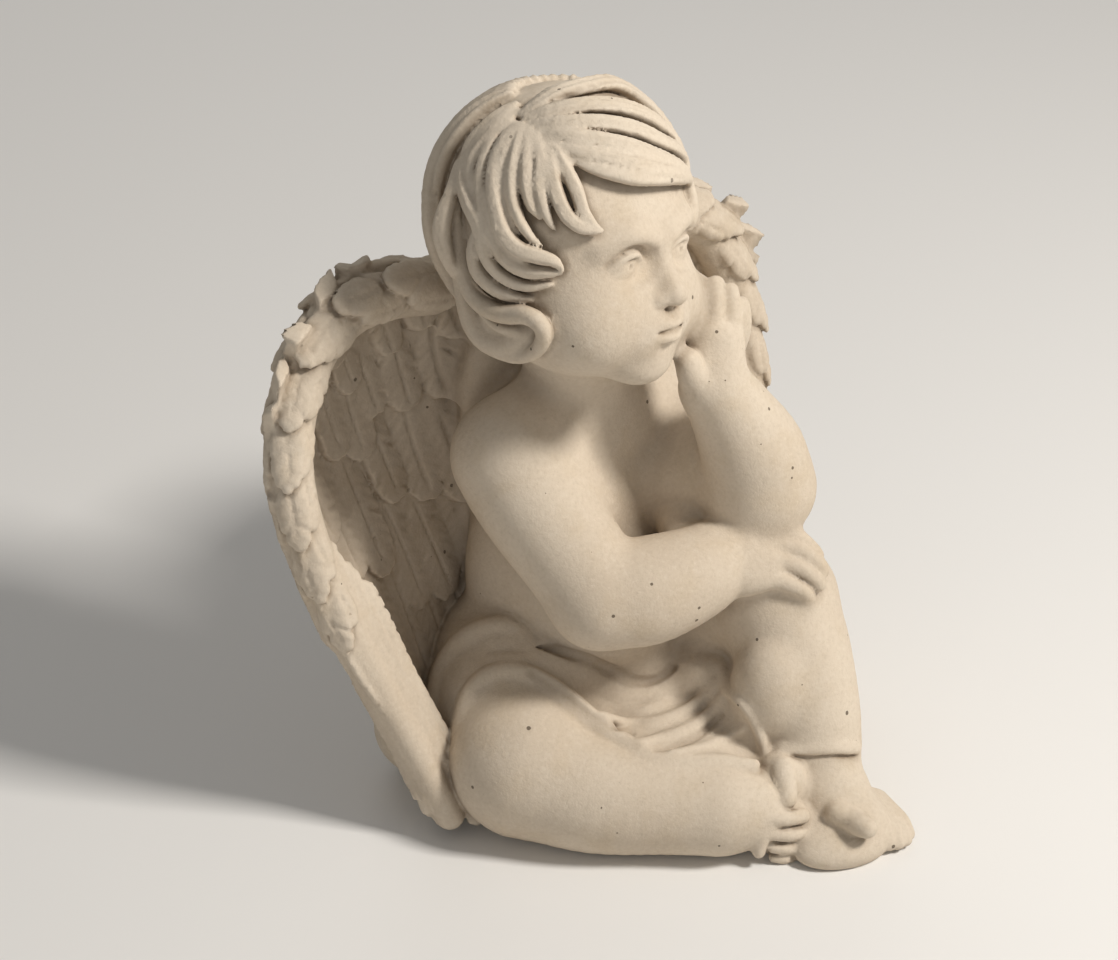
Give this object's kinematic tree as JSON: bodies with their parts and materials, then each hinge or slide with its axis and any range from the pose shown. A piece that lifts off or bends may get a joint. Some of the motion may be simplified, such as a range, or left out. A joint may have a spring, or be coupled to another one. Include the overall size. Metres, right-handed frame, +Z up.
{
  "type": "putto statue",
  "caption": "Seated winged infant figure resting its cheek on one hand, one leg folded flat and one knee raised, cloth over the lap, cast as a single piece.",
  "frame": {"origin": "centre of the footprint on the ground", "axes": "+Z up, the figure faces -Y, its right hand side is -X"},
  "size_m": [0.3423, 0.2907, 0.4057],
  "materials": {
    "cast_stone": "matt cream cast stone, lightly pitted, with dirt in the hollows and faint yellow staining"
  },
  "bodies": {
    "root": {"putto": "cast_stone"}
  },
  "joints": []
}
